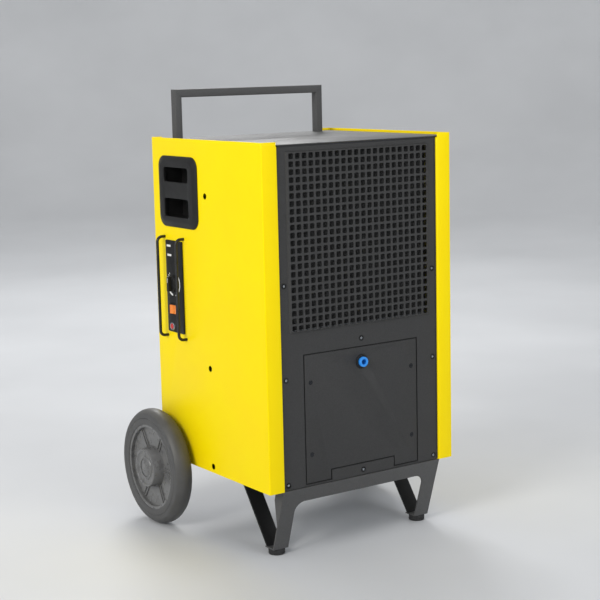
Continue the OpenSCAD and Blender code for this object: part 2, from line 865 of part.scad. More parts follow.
module fan_impeller() {
    blade_in = 30;
    hub_y = shroud_y + 10;
    color("black") translate([0, hub_y, coil_mid]) {
        rotate([-90, 0, 0]) cylinder(34, 36, 36);
        for (i = [0 : fan_blades - 1]) rotate([0, i * 360 / fan_blades, 0])
            translate([blade_in, 17, 0]) rotate([62, 0, 0]) linear_extrude(2.5, center = true)
                polygon([[0, -18], [50, -24], [fan_r - blade_in - 5, -22], [fan_r - blade_in - 2, 0],
                         [fan_r - blade_in - 12, 18], [40, 16], [0, 14]]);
        rotate([-90, 0, 0]) cylinder(70, 6, 6);
    }
}

module fan_motor() {
    y = shroud_y + shroud_d + 5.2;
    color("dimgray") translate([0, y, coil_mid]) rotate([-90, 0, 0]) difference() {
        union() {
            cylinder(4, 52, 52);
            cylinder(80, 46, 46);
            translate([0, 0, 80]) cylinder(8, 46, 34);
        }
        translate([0, 0, -1]) cylinder(40, 6 + run_gap, 6 + run_gap);
    }
}

// Welded compressor shell on its foot plate
module compressor() {
    cavity_r = pot_r - 16;
    color("black") translate([pot_x, pot_y, pot_low]) difference() {
        union() {
            rotate_extrude() polygon([[0, 0], [pot_r - 18, 0], [pot_r - 4, 8], [pot_r, 22], [pot_r, pot_h - 26],
                [pot_r - 5, pot_h - 12], [pot_r - 24, pot_h - 2], [0, pot_h]]);
            translate([-80, -80, -3]) cube([160, 160, 4]);
            translate([pot_r - 6, -22, 110]) cube([30, 44, 70]);
        }
        translate([0, 0, -4]) cylinder(210, cavity_r - 5, cavity_r - 5);
    }
}

module compressor_mounts() {
    low = z_low + sheet + 0.1;
    color("black") for (sx = [-1, 1], sy = [-1, 1])
        translate([pot_x + 64 * sx, pot_y + 64 * sy, low]) cylinder(pot_low - 3.2 - low, 12, 12);
}

module suction_line() {
    x = pot_x - pot_r - 42;
    y = pot_y;
    low = pot_low + 40;
    run_z = deck_z - 44;
    end_y = evaporator_y + 36;
    side = coil_size / 2 + 2.2;
    color("peru") {
        translate([x, y, low]) cylinder(150, 28, 28);
        pipe([[x, y, low - 1], [x, y, low - 22], [pot_x - pot_r + 12, y, low - 22]], 6);
        pipe([[x, y, low + 149], [x, y, run_z], [x, end_y, run_z], [riser_x, end_y, run_z],
              [riser_x, end_y, coil_low + 8], [side, end_y, coil_low + 8]], 6);
    }
}

module discharge_line() {
    side = coil_size / 2 + 2.2;
    y = condenser_y + 38;
    run_z = deck_z - 22;
    high_z = coil_low + coil_size - 10;
    color("peru") pipe([[pot_x, pot_y, pot_low + pot_h - 3], [pot_x, pot_y, run_z], [riser_x, pot_y, run_z],
        [riser_x, y, run_z], [riser_x, y, high_z], [side, y, high_z]], 4.5);
}

// Liquid line with filter drier and a wound capillary tube
module liquid_line() {
    side = coil_size / 2 + 2.2;
    y_in = condenser_y + 12;
    y_out = evaporator_y + 12;
    turn_z = deck_z - 90;
    turn_r = 24;
    turn_x = riser_x - turn_r;
    turn_y = (y_in + y_out) / 2;
    end_z = coil_low + 63;
    color("peru") {
        pipe([[side, y_in, end_z], [riser_x, y_in, end_z], [riser_x, y_in, deck_z - 14]], 4);
        translate([riser_x, y_in, deck_z - 74]) cylinder(62, 10, 10);
        rod([riser_x, y_in, deck_z - 72], [riser_x, y_in, turn_z], 3);
        translate([riser_x, y_in, turn_z]) sphere(3, $fn = 24);
        for (i = [0 : 3]) translate([turn_x, turn_y, turn_z - 5 * i])
            rotate_extrude($fn = 48) translate([turn_r, 0]) circle(2.9, $fn = 24);
        rod([riser_x, y_in, turn_z], [riser_x, turn_y, turn_z], 2.5);
        rod([riser_x, y_out, turn_z], [riser_x, turn_y, turn_z], 2.5);
        pipe([[riser_x, y_out, turn_z], [riser_x, y_out, end_z], [side, y_out, end_z]], 2.6);
    }
}

module run_capacitor() {
    color("whitesmoke") translate([200, -120, z_low + sheet + 0.2]) {
        cylinder(92, 22, 22);
        cylinder(12, 25, 25);
    }
}

module drip_tray() {
    x = coil_size / 2 + 14;
    y0 = evaporator_y - 6;
    y1 = condenser_y + coil_d + 6;
    low = deck_z + sheet + 0.2;
    h = 16;
    color("gainsboro") {
        difference() {
            block([-x, y0, low], [x, y1, low + h]);
            block([-x + 2, y0 + 2, low + 2], [x - 2, y1 - 2, low + h + 1]);
            translate([tray_drop_x, tray_drop_y, low - 1]) cylinder(5, 7, 7);
        }
        translate([tray_drop_x, tray_drop_y, tank_top + 10]) difference() {
            cylinder(low - tank_top - 10, 9, 9);
            translate([0, 0, -1]) cylinder(low - tank_top + 4, 7, 7);
        }
    }
}

module pump_tank() {
    low = [tank_x - tank_w / 2, tank_y - tank_d / 2, tank_low];
    high = [tank_x + tank_w / 2, tank_y + tank_d / 2, tank_top];
    color("whitesmoke") difference() {
        block(low, high);
        block(low + [3, 3, 3], high + [-3, -3, 1]);
    }
    color("whitesmoke") for (s = [-1, 1]) difference() {
        block([float_pivot.x - 5, float_pivot.y + (s > 0 ? 9 : -13), tank_low + 3],
              [float_pivot.x + 5, float_pivot.y + (s > 0 ? 13 : -9), float_pivot.z + 7]);
        translate(float_pivot) rotate([90, 0, 0]) cylinder(40, 2.05, 2.05, center = true);
    }
}

// Tank lid with the pump motor and the hose spigot
module pump_head() {
    low = tank_top + 0.2;
    color("dimgray") difference() {
        union() {
            block([tank_x - tank_w / 2 - 3, tank_y - tank_d / 2 - 3, low],
                  [tank_x + tank_w / 2 + 3, tank_y + tank_d / 2 + 3, low + 4]);
            translate([pump_out_x - 22, pump_out_y - 25, low]) cylinder(62, 26, 26);
            translate([pump_out_x, pump_out_y, low]) cylinder(69.8, 5, 5);
        }
        translate([tray_drop_x, tray_drop_y, low - 1]) cylinder(6, 11, 11);
    }
}

// Float on a lever, drawn at its low stop
module float_lever() {
    color("gainsboro") translate(float_pivot) {
        rotate([90, 0, 0]) cylinder(28, 2, 2, center = true);
        rotate([90, 0, 0]) cylinder(14, 5, 5, center = true);
        rod([0, 0, 0], [50, 0, -30], 2.5);
        translate([62, 0, -52]) cylinder(26, 16, 16);
    }
}

module cable_gland() {
    color("black") translate([150, rear_face - sheet, z_low + 70]) rotate([-90, 0, 0]) difference() {
        union() {
            translate([0, 0, -14]) cylinder(30, 10, 10);
            translate([0, 0, sheet]) cylinder(5, 14, 14, $fn = 6);
            translate([0, 0, -6]) cylinder(5.9, 14, 14, $fn = 6);
            translate([0, 0, 16]) cylinder(10, 10, 7);
        }
        translate([0, 0, -20]) cylinder(60, 4.5, 4.5);
    }
}

// A screw seen from outside: its head on the surface, its shank behind
module screw(at, aim) {
    translate(at) rotate(aim) {
        cylinder(head_h, head_r, head_r - 1.5, $fn = 24);
        translate([0, 0, -shank_l]) cylinder(shank_l + 0.5, shank_r, shank_r, $fn = 24);
    }
}

module screws() {
    color("silver") {
        for (s = [-1, 1], z = panel_screw_zs) {
            screw([s * panel_screw_x, front_face, z], [90, 0, 0]);
            screw([s * panel_screw_x, rear_face, z], [-90, 0, 0]);
        }
        for (z = centre_screw_zs) screw([0, front_face, z], [90, 0, 0]);
        for (s = [-1, 1], z = [cover_screw_low, cover_screw_high])
            screw([s * cover_screw_x, front_face, z], [90, 0, 0]);
        for (z = side_screw_zs) {
            screw([-half_w, 0, z], [0, -90, 0]);
            screw([half_w, 0, z], [0, 90, 0]);
        }
    }
}

placed() side_panel_left();
placed() side_panel_right();
placed() front_panel();
placed() service_cover();
placed() rear_panel();
placed() top_cover();
placed() base_pan();
placed() mid_deck();
placed() leg_frame();
placed() leg_strut_left();
placed() leg_strut_right();
placed() foot_pad_left();
placed() foot_pad_right();
placed() axle();
placed() axle_bracket_left();
placed() axle_bracket_right();
placed() tyre_left();
placed() tyre_right();
placed() hub_left();
placed() hub_right();
placed() bush_left();
placed() bush_right();
placed() hub_cap_left();
placed() hub_cap_right();
placed() axle_clips();
placed() handle_bow();
placed() grip_left();
placed() grip_right();
placed() guard_rail_front();
placed() guard_rail_rear();
placed() control_plate();
placed() dial_scale();
placed() dial_knob();
placed() hygrostat();
placed() rocker_frame();
placed() rocker_paddle();
placed() pilot_lamp();
placed() control_box();
placed() push_fit_body();
placed() push_fit_collet();
placed() drain_hose();
placed() filter_frame();
placed() filter_mat();
placed() evaporator();
placed() condenser();
placed() fan_shroud();
placed() fan_impeller();
placed() fan_motor();
placed() compressor();
placed() compressor_mounts();
placed() suction_line();
placed() discharge_line();
placed() liquid_line();
placed() run_capacitor();
placed() drip_tray();
placed() pump_tank();
placed() pump_head();
placed() float_lever();
placed() cable_gland();
placed() screws();
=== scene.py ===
# Wheeled dehumidifier: the visible pieces, their finishes and the studio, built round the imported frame
import math
import bmesh
import bpy
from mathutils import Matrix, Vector


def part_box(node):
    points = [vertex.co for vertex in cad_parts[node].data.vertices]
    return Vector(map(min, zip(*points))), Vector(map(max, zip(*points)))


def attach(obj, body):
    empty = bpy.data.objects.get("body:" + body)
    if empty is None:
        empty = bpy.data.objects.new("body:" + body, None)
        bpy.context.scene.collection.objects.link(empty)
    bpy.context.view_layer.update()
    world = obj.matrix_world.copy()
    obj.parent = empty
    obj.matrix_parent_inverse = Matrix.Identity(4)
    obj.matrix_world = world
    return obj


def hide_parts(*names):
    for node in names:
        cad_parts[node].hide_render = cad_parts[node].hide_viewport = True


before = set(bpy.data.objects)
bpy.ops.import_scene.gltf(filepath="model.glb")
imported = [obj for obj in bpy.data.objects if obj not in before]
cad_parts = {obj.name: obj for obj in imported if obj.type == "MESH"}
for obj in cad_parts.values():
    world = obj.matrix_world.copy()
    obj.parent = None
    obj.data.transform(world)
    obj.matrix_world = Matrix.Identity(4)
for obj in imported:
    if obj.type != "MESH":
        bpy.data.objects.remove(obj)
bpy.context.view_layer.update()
cabinetLow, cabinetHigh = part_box("side_panel_left")
cabinetY = (cabinetLow.y + cabinetHigh.y) / 2  # the cabinet's middle, in the frame


# ---- small tools, all in millimetres about the middle of the cabinet

def at(x, y, z):
    return Vector((x / 1000, y / 1000 + cabinetY, z / 1000))


def spot(part):
    points = [part.co] if hasattr(part, "co") else [v.co for v in part.verts]
    centre = sum(points, Vector()) / len(points)
    return Vector((centre.x, centre.y - cabinetY, centre.z)) * 1000


def runs(edge, axis):
    along = (edge.verts[1].co - edge.verts[0].co).normalized()
    return abs(along["XYZ".index(axis)]) > 0.999


def focus(piece=None):
    if bpy.context.mode != "OBJECT":
        bpy.ops.object.mode_set(mode="OBJECT")
    bpy.ops.object.select_all(action="DESELECT")
    if piece:
        piece.select_set(True)
        bpy.context.view_layer.objects.active = piece


def settle(name):
    piece = bpy.context.object
    piece.name = piece.data.name = name
    bpy.ops.object.transform_apply(location=True, rotation=True, scale=True)
    return piece


def addBox(name, low, high):
    focus()
    low, high = at(*low), at(*high)
    bpy.ops.mesh.primitive_cube_add(size=1, location=(low + high) / 2, scale=high - low)
    return settle(name)


def addDrum(name, centre, radius, depth, axis, sides=64):
    turn = {"X": (0, math.pi / 2, 0), "Y": (math.pi / 2, 0, 0), "Z": (0, 0, 0)}[axis]
    focus()
    bpy.ops.mesh.primitive_cylinder_add(vertices=sides, radius=radius / 1000, depth=depth / 1000,
                                        location=at(*centre), rotation=turn)
    return settle(name)


def pick(piece, kind, test):
    if bpy.context.mode != "EDIT_MESH" or bpy.context.object != piece:
        focus(piece)
        bpy.ops.object.mode_set(mode="EDIT")
    bpy.ops.mesh.select_mode(type=kind)
    bpy.ops.mesh.select_all(action="DESELECT")
    mesh = bmesh.from_edit_mesh(piece.data)
    for part in {"VERT": mesh.verts, "EDGE": mesh.edges, "FACE": mesh.faces}[kind]:
        if test(part):
            part.select_set(True)
    mesh.select_flush_mode()
    bmesh.update_edit_mesh(piece.data)


def everything(part):
    return True


def shift(x, y, z):
    return {"value": (x / 1000, y / 1000, z / 1000)}


def extrudeFaces(x, y, z):
    bpy.ops.mesh.extrude_region_move(TRANSFORM_OT_translate=shift(x, y, z))


def extrudeEdges(x, y, z):
    bpy.ops.mesh.extrude_edges_move(TRANSFORM_OT_translate=shift(x, y, z))


def resize(centre, x, y, z):
    bpy.ops.transform.resize(value=(x, y, z), center_override=at(*centre))


def roundEdges(piece, test, width, segments=3):
    pick(piece, "EDGE", test)
    bpy.ops.mesh.bevel(offset=width / 1000, segments=segments, affect="EDGES")


def cutPlane(piece, point, normal, drop=False):
    pick(piece, "FACE", everything)
    bpy.ops.mesh.bisect(plane_co=at(*point), plane_no=normal, use_fill=drop, clear_outer=drop)


def modify(piece, kind, **settings):
    focus(piece)
    change = piece.modifiers.new(kind.title(), kind)
    for key, value in settings.items():
        setattr(change, key, value)
    bpy.ops.object.modifier_apply(modifier=change.name)


def cutAway(piece, tool):
    focus(tool)
    modify(piece, "BOOLEAN", operation="DIFFERENCE", solver="EXACT", object=tool)
    bpy.data.objects.remove(tool)


def thicken(piece, thickness):
    modify(piece, "SOLIDIFY", thickness=thickness / 1000, offset=-1, use_even_offset=True)


def softenAll(piece, width, segments=2, angle=40):
    modify(piece, "BEVEL", width=width / 1000, segments=segments, limit_method="ANGLE",
           angle_limit=math.radians(angle))


def joined(name, pieces):
    focus()
    for piece in pieces:
        piece.select_set(True)
    bpy.context.view_layer.objects.active = pieces[0]
    bpy.ops.object.join()
    pieces[0].name = pieces[0].data.name = name
    return pieces[0]


def copyOf(piece, name, move=(0, 0, 0)):
    focus(piece)
    bpy.ops.object.duplicate()
    twin = bpy.context.object
    twin.name = twin.data.name = name
    bpy.ops.object.mode_set(mode="EDIT")
    bpy.ops.mesh.select_all(action="SELECT")
    bpy.ops.transform.translate(**shift(*move))
    focus(twin)
    return twin


def turnedCopy(piece, name, centre, axis, degrees):
    twin = copyOf(piece, name)
    bpy.ops.object.mode_set(mode="EDIT")
    bpy.ops.mesh.select_all(action="SELECT")
    bpy.ops.transform.rotate(value=math.radians(degrees), orient_axis=axis, center_override=at(*centre))
    focus(twin)
    return twin


def mirroredCopy(piece, name):
    twin = copyOf(piece, name)
    bpy.ops.object.mode_set(mode="EDIT")
    bpy.ops.mesh.select_all(action="SELECT")
    bpy.ops.transform.resize(value=(-1, 1, 1), center_override=(0, 0, 0))
    bpy.ops.mesh.normals_make_consistent(inside=False)
    focus(twin)
    return twin


def tracePath(name, points):  # one vertex, extruded from point to point
    focus()
    bpy.ops.mesh.primitive_plane_add(size=0.001, location=at(*points[0]))
    piece = settle(name)
    bpy.ops.object.mode_set(mode="EDIT")
    bpy.ops.mesh.select_mode(type="VERT")
    bpy.ops.mesh.select_all(action="SELECT")
    bpy.ops.mesh.merge(type="CENTER")
    for a, b in zip(points, points[1:]):
        bpy.ops.mesh.extrude_vertices_move(TRANSFORM_OT_translate={"value": at(*b) - at(*a)})
    return piece


def turned(name, centre, profile, axis, steps=64, sweep=360, start=0):
    # profile: radius and distance along the axis from the centre
    x, y, z = centre
    lean, rise = math.sin(math.radians(start)), math.cos(math.radians(start))
    lay = {"X": lambda r, d: (x + d, y - r * lean, z + r * rise), "Y": lambda r, d: (x + r, y + d, z),
           "Z": lambda r, d: (x + r, y, z + d)}[axis]
    piece = tracePath(name, [lay(r, d) for r, d in profile])
    direction = {"X": (1, 0, 0), "Y": (0, 1, 0), "Z": (0, 0, 1)}[axis]
    bpy.ops.mesh.select_all(action="SELECT")
    bpy.ops.mesh.spin(steps=steps, angle=-math.radians(sweep), center=at(*centre), axis=direction)
    bpy.ops.mesh.select_all(action="SELECT")
    bpy.ops.mesh.remove_doubles(threshold=0.000005)
    bpy.ops.mesh.normals_make_consistent(inside=False)
    focus(piece)
    return piece


def finish(piece, material, body, replaces=(), angle=35):
    focus(piece)
    bpy.ops.object.shade_smooth_by_angle(angle=math.radians(angle))
    piece.data.materials.clear()
    piece.data.materials.append(material)
    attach(piece, body)
    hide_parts(*replaces)
    return piece


# ---- finishes

def linear(code):  # sRGB hex to linear colour
    parts = [int(code[i:i + 2], 16) / 255 for i in (0, 2, 4)]
    return [p / 12.92 if p <= 0.04045 else ((p + 0.055) / 1.055) ** 2.4 for p in parts] + [1]


def addNode(tree, kind, values=None, links=None, **settings):
    node = tree.nodes.new("ShaderNode" + kind)
    for key, value in settings.items():
        setattr(node, key, value)
    for socket, value in (values or {}).items():
        node.inputs[socket].default_value = value
    for socket, source in (links or {}).items():
        tree.links.new(source, node.inputs[socket])
    return node


def surface(name, look):
    # A colour that drifts a little, a roughness that drifts with it, and a fine grain as bump
    material = bpy.data.materials.new(name)
    material.use_nodes = True
    tree = material.node_tree
    shader = tree.nodes["Principled BSDF"]
    shader.inputs["Metallic"].default_value = look.get("metallic", 0)
    shader.inputs["IOR"].default_value = look.get("ior", 1.5)
    shader.inputs["Specular IOR Level"].default_value = look.get("specular", 0.5)
    shader.inputs["Coat Weight"].default_value = look.get("coat", 0)
    shader.inputs["Coat Roughness"].default_value = look.get("coatRoughness", 0.1)
    place = addNode(tree, "TexCoord").outputs["Object"]
    if "stretch" in look:
        place = addNode(tree, "Mapping", {"Scale": look["stretch"]}, {"Vector": place}).outputs["Vector"]
    drift = addNode(tree, "TexNoise", {"Scale": 1000 / look["driftSize"], "Detail": 3, "Roughness": 0.55},
                    {"Vector": place}).outputs["Fac"]
    if look.get("cells"):
        grain = addNode(tree, "TexVoronoi", {"Scale": 1000 / look["grainSize"]},
                        {"Vector": place}).outputs[look["cells"]]
    else:
        grain = addNode(tree, "TexNoise", {"Scale": 1000 / look["grainSize"], "Detail": 2},
                        {"Vector": place}).outputs["Fac"]
    source = grain if look.get("speckle") else drift
    ramp = addNode(tree, "ValToRGB", None, {"Fac": source})
    ramp.color_ramp.elements[0].position = 0.3
    ramp.color_ramp.elements[0].color = linear(look["colours"][0])
    ramp.color_ramp.elements[1].position = 0.7
    ramp.color_ramp.elements[1].color = linear(look["colours"][1])
    low, high = look["roughness"]
    rough = addNode(tree, "MapRange", {"From Min": 0.3, "From Max": 0.7, "To Min": low, "To Max": high},
                    {"Value": drift})
    bump = addNode(tree, "Bump", {"Strength": 1, "Distance": look["grainDepth"] / 1000}, {"Height": grain})
    tree.links.new(ramp.outputs["Color"], shader.inputs["Base Color"])
    tree.links.new(rough.outputs["Result"], shader.inputs["Roughness"])
    tree.links.new(bump.outputs["Normal"], shader.inputs["Normal"])
    return material


print("finishes")

# Powder-coated steel, gloss yellow: baked polyester with a faint orange peel, about 2 mm from crest to crest
yellowCoat = surface("PowderCoatedSteelYellow", {
    "colours": ("ffe000", "ffe400"), "roughness": (0.36, 0.44), "ior": 1.5, "specular": 0.12,
    "driftSize": 120, "grainSize": 2.2, "grainDepth": 0.012})

# Powder-coated steel, anthracite fine texture: a matt skin whose grit breaks the shine into tiny points
greyCoat = surface("PowderCoatedSteelAnthracite", {
    "colours": ("2f2f2f", "393939"), "roughness": (0.5, 0.6), "ior": 1.5, "specular": 0.35, "speckle": True,
    "driftSize": 90, "grainSize": 1.5, "grainDepth": 0.09})

# Powder-coated steel, anthracite, on bent and welded parts: the same coat, a little smoother where it flows
frameCoat = surface("PowderCoatedSteelFrame", {
    "colours": ("474747", "545454"), "roughness": (0.42, 0.52), "ior": 1.5, "specular": 0.35, "speckle": True,
    "driftSize": 60, "grainSize": 1.8, "grainDepth": 0.05})

# Powder-coated steel, the frame coat made near-black: painted shade on the rear straps of the legs, which sit in the
# shadow under the body, and on the frame behind the service cover's gaps; the same matt grit
paintedShadeCoat = surface("PowderCoatedSteelPaintedShade", {
    "colours": ("0f0f0f", "181818"), "roughness": (0.5, 0.6), "ior": 1.5, "specular": 0.3, "speckle": True,
    "driftSize": 60, "grainSize": 1.8, "grainDepth": 0.05})

# Galvanised sheet steel: hot-dip zinc, its crystals 9 mm flakes of lighter and darker grey
galvanised = surface("GalvanisedSteel", {
    "colours": ("8d9194", "b4b8ba"), "roughness": (0.34, 0.5), "metallic": 1, "speckle": True,
    "cells": "Color", "driftSize": 40, "grainSize": 9, "grainDepth": 0.01})

# Natural rubber, moulded: matt, a dusting of grey over near-black
soleRubber = surface("MouldedRubber", {
    "colours": ("1d1d1e", "29292a"), "roughness": (0.72, 0.85), "ior": 1.52,
    "driftSize": 14, "grainSize": 1.2, "grainDepth": 0.05})

# Solid rubber tyre: grey non-marking compound, dull, with mould pores and a little dust
tyreRubber = surface("SolidTyreRubber", {
    "colours": ("424242", "4e4e4e"), "roughness": (0.44, 0.58), "ior": 1.52,
    "driftSize": 30, "grainSize": 1.6, "grainDepth": 0.06})

# Glass-filled nylon, moulded: satin mid grey, its fibres mottle the shine
hubNylon = surface("MouldedNylonGrey", {
    "colours": ("5a5a5a", "6a6a6a"), "roughness": (0.24, 0.34), "ior": 1.53,
    "driftSize": 18, "grainSize": 1.4, "grainDepth": 0.03})

# ABS, spark-eroded mould: black with a fine leatherless grain of about 0.8 mm
blackPlastic = surface("MouldedAbsBlack", {
    "colours": ("161616", "1e1e1e"), "roughness": (0.4, 0.52), "ior": 1.54, "specular": 0.25,
    "driftSize": 25, "grainSize": 0.9, "grainDepth": 0.02})

# Acetal, turned and moulded bearings: waxy off-white
whiteAcetal = surface("AcetalWhite", {
    "colours": ("d9d7cf", "e4e2da"), "roughness": (0.3, 0.4), "ior": 1.48,
    "driftSize": 12, "grainSize": 1.5, "grainDepth": 0.008})

# Steel rod, black chromated: smooth, with the sheen of a thin dark film
blackRod = surface("BlackChromatedRod", {
    "colours": ("232425", "303132"), "roughness": (0.26, 0.36), "metallic": 0.4,
    "driftSize": 22, "grainSize": 1.2, "grainDepth": 0.012})

# Zinc-plated steel screws: bright blue-white plating, stamped heads
zincSteel = surface("ZincPlatedSteel", {
    "colours": ("9ba0a5", "b8bdc2"), "roughness": (0.14, 0.24), "metallic": 1,
    "driftSize": 3, "grainSize": 0.8, "grainDepth": 0.01})

# Black-oxide steel screws: oiled dark heads
blackSteel = surface("BlackOxideSteel", {
    "colours": ("1c1e22", "2a2d32"), "roughness": (0.2, 0.3), "metallic": 0.3,
    "driftSize": 3, "grainSize": 0.8, "grainDepth": 0.01})

# Turned steel: fine rings left by the lathe, drawn out round the axle along X
turnedSteel = surface("TurnedSteel", {
    "colours": ("9ea2a6", "babec1"), "roughness": (0.24, 0.34), "metallic": 1, "stretch": (6, 0.3, 0.3),
    "driftSize": 10, "grainSize": 4, "grainDepth": 0.01})

# Screen print: flat white ink, slightly uneven
whiteInk = surface("ScreenPrintWhite", {
    "colours": ("dcdcda", "ececea"), "roughness": (0.5, 0.6), "ior": 1.5,
    "driftSize": 4, "grainSize": 0.6, "grainDepth": 0.005})

# Polycarbonate rocker, orange and lit from inside when on: clear-toned, glossy
orangeLens = surface("PolycarbonateOrange", {
    "colours": ("e87818", "f48a28"), "roughness": (0.16, 0.24), "ior": 1.58, "coat": 0.4,
    "driftSize": 8, "grainSize": 2, "grainDepth": 0.004})

# Polycarbonate lamp lens, red: glossy, deep colour
redLens = surface("PolycarbonateRed", {
    "colours": ("b3120c", "d0201a"), "roughness": (0.08, 0.16), "ior": 1.58, "coat": 0.6,
    "driftSize": 6, "grainSize": 2, "grainDepth": 0.004})

# Acetal collet, blue: waxy moulded plastic
blueAcetal = surface("AcetalBlue", {
    "colours": ("1c80dc", "3698ee"), "roughness": (0.3, 0.4), "ior": 1.48,
    "driftSize": 6, "grainSize": 1, "grainDepth": 0.008})

# Polyethylene hose: milky and soft
hosePlastic = surface("PolyethyleneHose", {
    "colours": ("b9c0c4", "cdd3d6"), "roughness": (0.35, 0.45), "ior": 1.51,
    "driftSize": 20, "grainSize": 2, "grainDepth": 0.01})

# Open-cell filter foam, 10 pores to the inch, kept near-black so the grille holes read dark: painted shade in the
# pores, darker at their centres, between thin grey struts 2.5 mm apart
filterFoam = surface("FilterFoam", {
    "colours": ("0a0a0a", "2c2c2c"), "roughness": (0.8, 0.9), "ior": 1.5, "speckle": True,
    "cells": "Distance", "driftSize": 30, "grainSize": 2.6, "grainDepth": 1.2})

# Aluminium fin stack: mill-bright edges of fins 2 mm apart, so the noise is squeezed along X
finStack = surface("AluminiumFinStack", {
    "colours": ("6d7072", "c3c6c8"), "roughness": (0.3, 0.42), "metallic": 1, "speckle": True,
    "stretch": (8, 0.25, 0.25), "driftSize": 30, "grainSize": 12, "grainDepth": 0.3})

# Stove enamel on the compressor: thick black gloss with soft waves
blackEnamel = surface("StoveEnamelBlack", {
    "colours": ("101011", "17171a"), "roughness": (0.16, 0.26), "ior": 1.52, "coat": 0.5,
    "driftSize": 40, "grainSize": 6, "grainDepth": 0.04})

# Motor paint: sprayed grey over a cast end shield
motorPaint = surface("MotorPaintGrey", {
    "colours": ("55585b", "63666a"), "roughness": (0.42, 0.55), "ior": 1.5,
    "driftSize": 30, "grainSize": 1.8, "grainDepth": 0.06})

# Copper tube: drawn, handled and a little tarnished
copperTube = surface("CopperTube", {
    "colours": ("b0663f", "d98f66"), "roughness": (0.24, 0.42), "metallic": 1,
    "driftSize": 26, "grainSize": 3, "grainDepth": 0.01})

# Polypropylene tank and tray: off-white, moulded, satin
whitePlastic = surface("PolypropyleneWhite", {
    "colours": ("cfd0cd", "dcddd9"), "roughness": (0.38, 0.5), "ior": 1.49,
    "driftSize": 40, "grainSize": 1.5, "grainDepth": 0.02})

cadFinish = {
    yellowCoat: ["side_panel_left", "side_panel_right"],
    greyCoat: ["front_panel", "service_cover", "rear_panel", "top_cover"],
    frameCoat: ["leg_frame", "axle_bracket_left", "axle_bracket_right", "handle_bow"],
    # The leg struts take the near-black coat: painted shade under the body
    paintedShadeCoat: ["leg_strut_left", "leg_strut_right"],
    galvanised: ["base_pan", "mid_deck", "control_box", "filter_frame", "fan_shroud"],
    soleRubber: ["foot_pad_left", "foot_pad_right", "compressor_mounts"],
    tyreRubber: ["tyre_left", "tyre_right"],
    hubNylon: ["hub_left", "hub_right", "hub_cap_left", "hub_cap_right"],
    whiteAcetal: ["bush_left", "bush_right", "hygrostat"],
    turnedSteel: ["axle", "axle_clips"],
    blackPlastic: ["grip_left", "grip_right", "control_plate", "dial_knob", "rocker_frame",
                   "push_fit_body", "cable_gland", "fan_impeller"],
    blackRod: ["guard_rail_front", "guard_rail_rear"],
    whiteInk: ["dial_scale"],
    orangeLens: ["rocker_paddle"],
    redLens: ["pilot_lamp"],
    blueAcetal: ["push_fit_collet"],
    hosePlastic: ["drain_hose"],
    filterFoam: ["filter_mat"],
    finStack: ["evaporator", "condenser"],
    blackEnamel: ["compressor"],
    motorPaint: ["fan_motor", "pump_head"],
    copperTube: ["suction_line", "discharge_line", "liquid_line"],
    whitePlastic: ["run_capacitor", "drip_tray", "pump_tank", "float_lever"],
    zincSteel: ["screws"]}
for material, nodes in cadFinish.items():
    for node in nodes:
        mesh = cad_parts[node].data
        mesh.materials.clear()
        mesh.materials.append(material)

# Folded and moulded CAD pieces that stay: their edges are broken, as a press or a mould leaves them
brokenEdges = {"rear_panel": 0.4, "leg_frame": 0.8, "leg_strut_left": 0.8, "leg_strut_right": 0.8,
               "axle_bracket_left": 0.5, "axle_bracket_right": 0.5, "base_pan": 0.4,
               "rocker_frame": 0.5, "rocker_paddle": 0.7, "cable_gland": 0.4}
for node, width in brokenEdges.items():
    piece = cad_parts[node]
    weld = piece.modifiers.new("Weld", "WELD")
    weld.merge_threshold = 0.00001
    flat = piece.modifiers.new("Flat", "DECIMATE")
    flat.decimate_type = "DISSOLVE"
    flat.angle_limit = math.radians(0.4)
    edge = piece.modifiers.new("Edge", "BEVEL")
    edge.width, edge.segments = width / 1000, 2
    edge.limit_method, edge.angle_limit = "ANGLE", math.radians(35)


# ---- cabinet

print("side panels")
panel = {"halfWidth": 260, "halfDepth": 237.5, "low": 160, "top": 930, "thickness": 2,
         "frontFlange": 40, "rearFlange": 30, "step": 7.2, "lip": 22, "foldRadius": 2.5, "lipTop": 920}
grip = {"y": 117, "z": 806, "width": 174, "height": 166, "edge": 2.5, "rise": 5.5, "corner": 26, "slope": 13,
        "cupLow": 742, "cupTop": 869, "cupHalf": 61, "windowWidth": 110,
        "upper": (829, 863), "lower": (748, 791), "bar": (791, 829)}
rocker = {"y": 155, "z": 526}
dial = {"y": 150, "z": 588}
lamp = {"y": 161, "z": 485}

side = addBox("sidePanelLeft", (-260, -237.5, 160), (-220, 237.5, 930))
pick(side, "FACE", lambda f: abs(f.normal.z) > 0.9 or f.normal.x > 0.9)
bpy.ops.mesh.delete(type="FACE")
pick(side, "VERT", lambda v: spot(v).x > -221 and spot(v).y > 0)
bpy.ops.transform.translate(**shift(panel["rearFlange"] - panel["frontFlange"], 0, 0))
for end in (-1, 1):
    pick(side, "EDGE", lambda e: runs(e, "Z") and e.is_boundary and spot(e).y * end > 0)
    extrudeEdges(0, -end * panel["step"], 0)
    extrudeEdges(panel["lip"], 0, 0)
roundEdges(side, lambda e: runs(e, "Z") and not e.is_boundary, panel["foldRadius"], 4)
cutPlane(side, (0, 0, panel["lipTop"]), (0, 0, 1))
pick(side, "FACE", lambda f: spot(f).z > panel["lipTop"] and (
    spot(f).x > -222.4 if spot(f).y < 0 else spot(f).x > -232.4))
bpy.ops.mesh.delete(type="FACE")
thicken(side, panel["thickness"])
softenAll(side, 0.4, 2, 60)
opening = addBox("gripOpening", (-265, grip["y"] - grip["cupHalf"] - 0.5, grip["cupLow"] - 0.5),
                 (-250, grip["y"] + grip["cupHalf"] + 0.5, grip["cupTop"] + 0.5))
roundEdges(opening, lambda e: runs(e, "X"), 8)
cutAway(side, opening)
